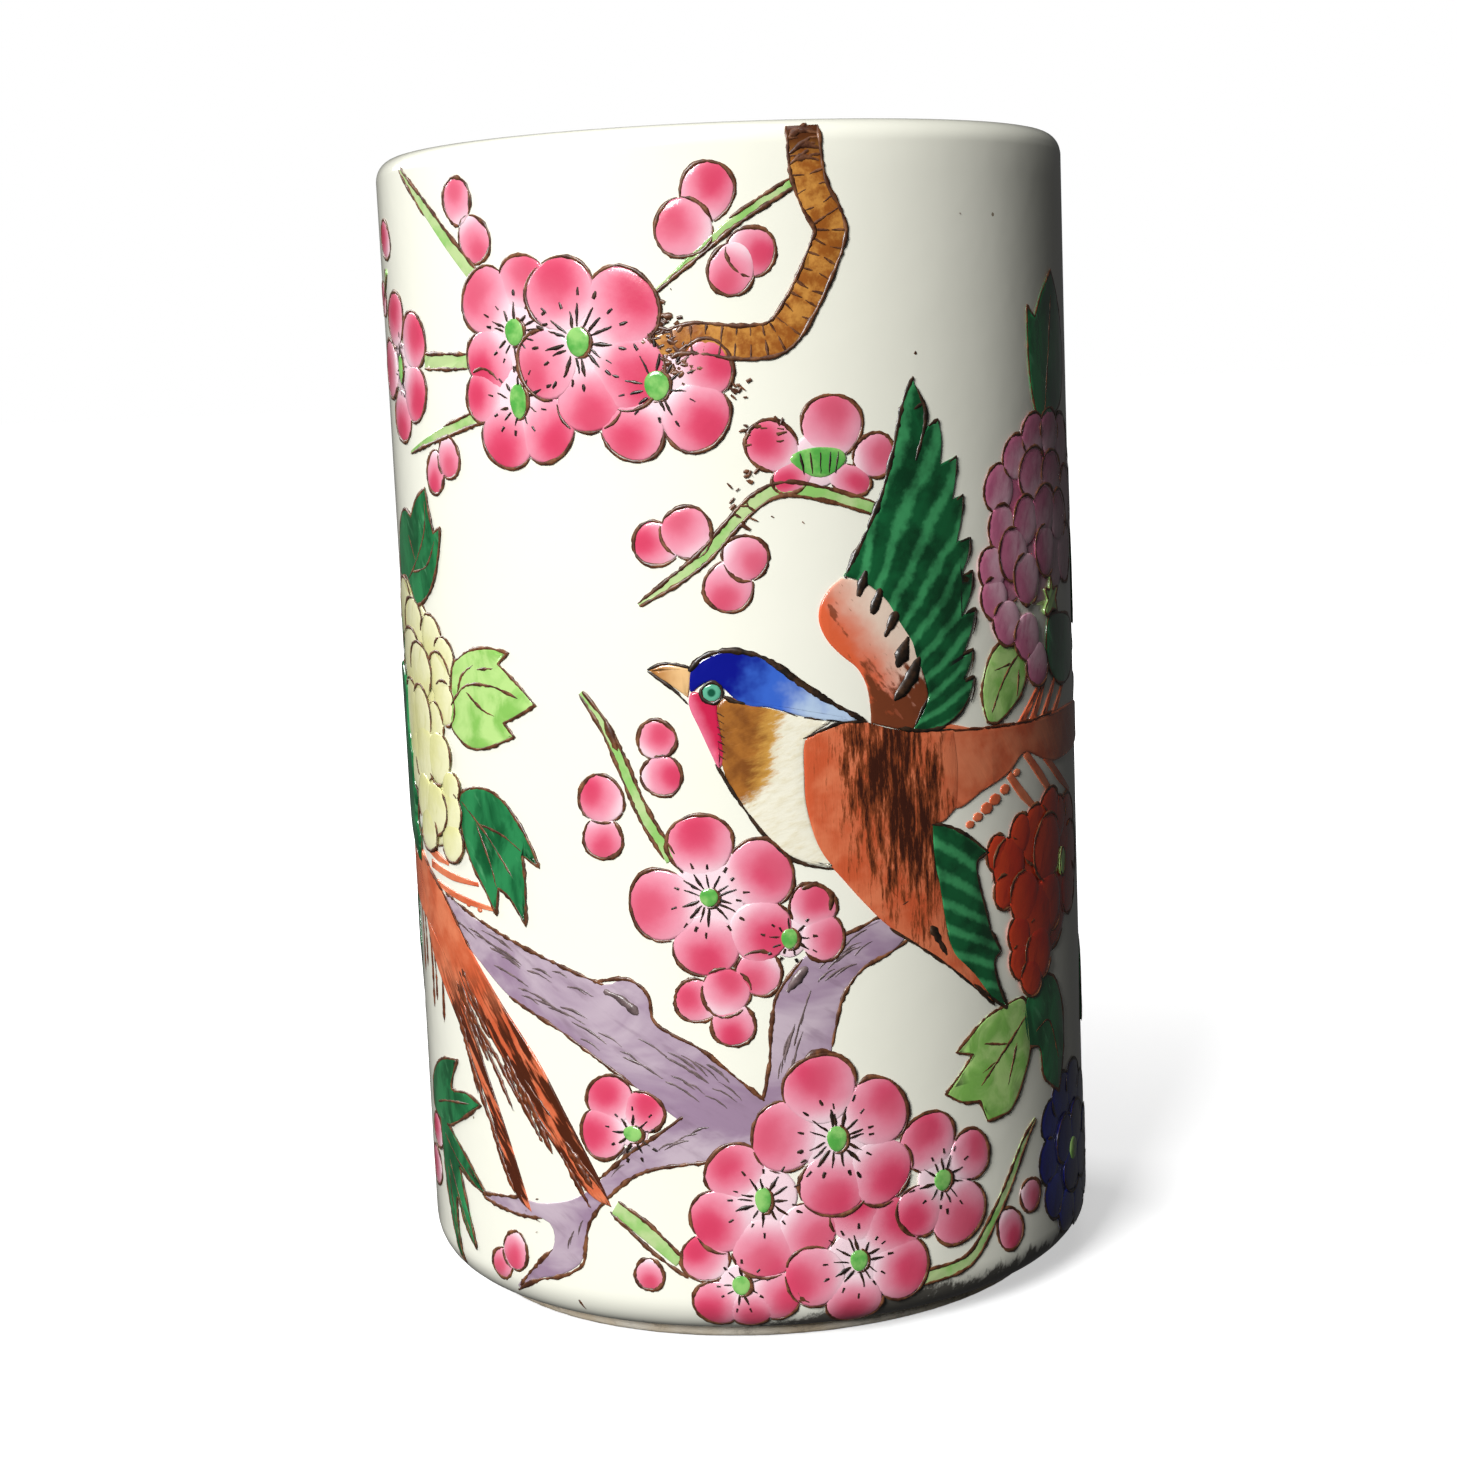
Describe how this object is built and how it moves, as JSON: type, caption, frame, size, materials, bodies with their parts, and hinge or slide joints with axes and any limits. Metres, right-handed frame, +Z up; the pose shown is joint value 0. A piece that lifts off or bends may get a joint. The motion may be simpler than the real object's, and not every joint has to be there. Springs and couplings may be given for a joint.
{
  "type": "brush holder pot",
  "caption": "Straight cylindrical porcelain pot for standing writing brushes in, with a rounded lip, a low bare foot ring and raised enamel painting of birds and blossom.",
  "frame": {"origin": "centre of the circle that the foot ring stands on", "axes": "+Z up along the pot's own axis, -Y towards the middle of the painted front, +X to its right"},
  "size_m": [0.0728, 0.073, 0.12],
  "materials": {
    "white_clay": "fired white porcelain clay",
    "bare_clay": "unglazed foot, matt, slightly toasted",
    "clear_glaze": "glossy clear glaze over white clay",
    "brown_enamel": "thin raised enamel",
    "lilac_enamel": "thin raised enamel",
    "stem_enamel": "thin raised enamel",
    "pink_enamel": "raised enamel, crimson shaded to white",
    "lime_enamel": "thin raised enamel",
    "bud_enamel": "raised enamel, crimson shaded to pale pink",
    "dark_green_enamel": "translucent raised enamel",
    "pale_green_enamel": "translucent raised enamel",
    "cream_enamel": "raised enamel",
    "rose_enamel": "raised enamel",
    "iron_red_enamel": "thin iron-red enamel",
    "blue_enamel": "translucent raised enamel",
    "cobalt_enamel": "raised enamel, cobalt shaded to pale blue",
    "ochre_enamel": "thin enamel",
    "magenta_enamel": "thin enamel",
    "umber_enamel": "thin streaked enamel",
    "coral_enamel": "thin streaked enamel",
    "wing_green_enamel": "translucent raised enamel with dark feather marks",
    "black_enamel": "thin enamel"
  },
  "bodies": {
    "root": {"pot_wall": "white_clay", "base_slab": "white_clay", "foot_ring": "bare_clay", "outer_glaze": "clear_glaze", "inner_glaze": "clear_glaze", "base_glaze": "clear_glaze", "brown_boughs": "brown_enamel", "lilac_boughs": "lilac_enamel", "green_stems": "stem_enamel", "blossom_petals": "pink_enamel", "blossom_hearts": "lime_enamel", "blossom_buds": "bud_enamel", "dark_leaves": "dark_green_enamel", "light_leaves": "pale_green_enamel", "cream_peonies": "cream_enamel", "rose_peonies": "rose_enamel", "red_peonies": "iron_red_enamel", "blue_flowers": "blue_enamel", "bird_crowns": "cobalt_enamel", "bird_beaks": "ochre_enamel", "bird_throats": "magenta_enamel", "bird_breasts": "umber_enamel", "bird_bodies": "coral_enamel", "bird_wings": "wing_green_enamel", "bird_tails": "coral_enamel", "bird_eyes": "black_enamel"}
  },
  "joints": []
}
